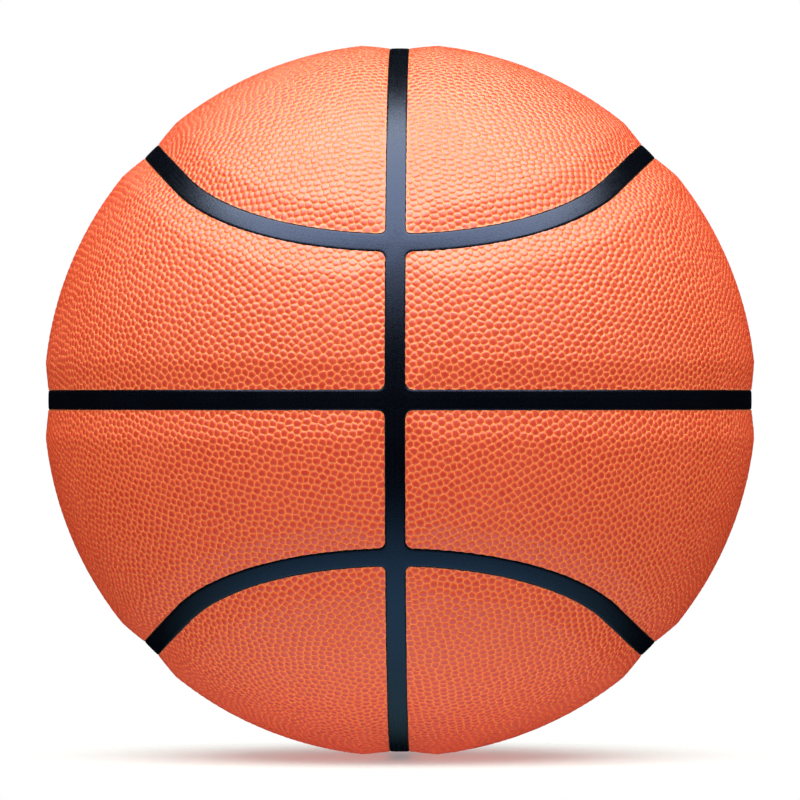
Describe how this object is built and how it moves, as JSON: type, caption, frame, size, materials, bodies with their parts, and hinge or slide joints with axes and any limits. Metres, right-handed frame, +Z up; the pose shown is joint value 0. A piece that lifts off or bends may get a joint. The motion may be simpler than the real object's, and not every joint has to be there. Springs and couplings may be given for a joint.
{
  "type": "basketball",
  "caption": "Inflatable basketball with pebbled composite leather panels glued between black rubber ribs, over a wound bladder with a pull-out valve core.",
  "frame": {"origin": "centre of the ball", "axes": "+Z up through the middle of the upper oval seam, +X to the right along the equator seam, -Y towards the seam crossing that faces the viewer"},
  "size_m": [0.2294, 0.2288, 0.2294],
  "materials": {
    "cover_leather": "pebbled satin composite leather",
    "channel_rubber": "satin black",
    "backing_foam": "matt foam",
    "winding_thread": "wound nylon thread",
    "bladder_rubber": "matt butyl",
    "valve_rubber": "satin black"
  },
  "bodies": {
    "ball": {"bladder": "bladder_rubber", "thread_winding": "winding_thread", "carcass": "channel_rubber", "valve_boot": "valve_rubber", "foam_top_left": "backing_foam", "foam_top_right": "backing_foam", "foam_bottom_left": "backing_foam", "foam_bottom_right": "backing_foam", "foam_upper_left": "backing_foam", "foam_upper_right": "backing_foam", "foam_lower_left": "backing_foam", "foam_lower_right": "backing_foam", "cover_top_left": "cover_leather", "cover_top_right": "cover_leather", "cover_bottom_left": "cover_leather", "cover_bottom_right": "cover_leather", "cover_upper_left": "cover_leather", "cover_upper_right": "cover_leather", "cover_lower_left": "cover_leather", "cover_lower_right": "cover_leather"},
    "valve_core": {"valve_core": "valve_rubber"}
  },
  "joints": [
    {"name": "valve_core_pull", "type": "slide", "parent": "ball", "child": "valve_core", "axis": [0.2192, 0.9494, 0.225], "range_m": [0, 0.014]}
  ]
}
